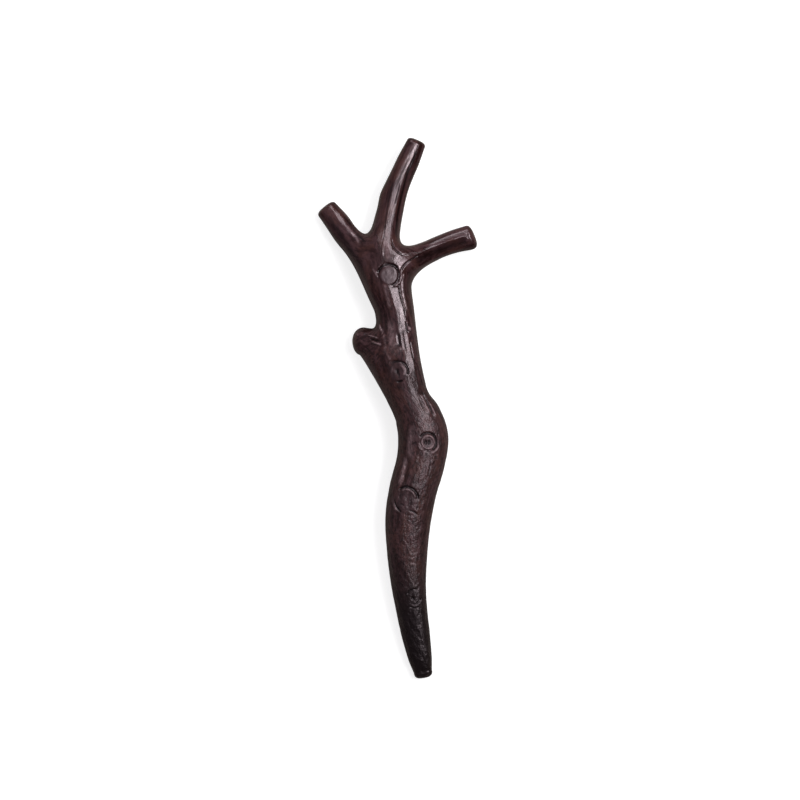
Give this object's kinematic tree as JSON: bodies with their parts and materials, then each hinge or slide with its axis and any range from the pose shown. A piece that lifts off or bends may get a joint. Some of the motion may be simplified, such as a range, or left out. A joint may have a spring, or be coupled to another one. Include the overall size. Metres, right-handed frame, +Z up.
{
  "type": "hair stick",
  "caption": "Hair stick carved from one piece of dark polished wood: a kinked, knotted shaft with a blunt tip, a short side stub and a crown of branching tines.",
  "frame": {"origin": "centre of the footprint, on the surface that the stick lies on", "axes": "+Y from the tip to the crown, +X to the side of the right tine, +Z up from the surface through the knotted front"},
  "size_m": [0.0144, 0.049, 0.0048],
  "materials": {
    "dark_wood": "polished, glossy on the crown and upper shaft, satin towards the tip"
  },
  "bodies": {
    "root": {"stick": "dark_wood"}
  },
  "joints": []
}
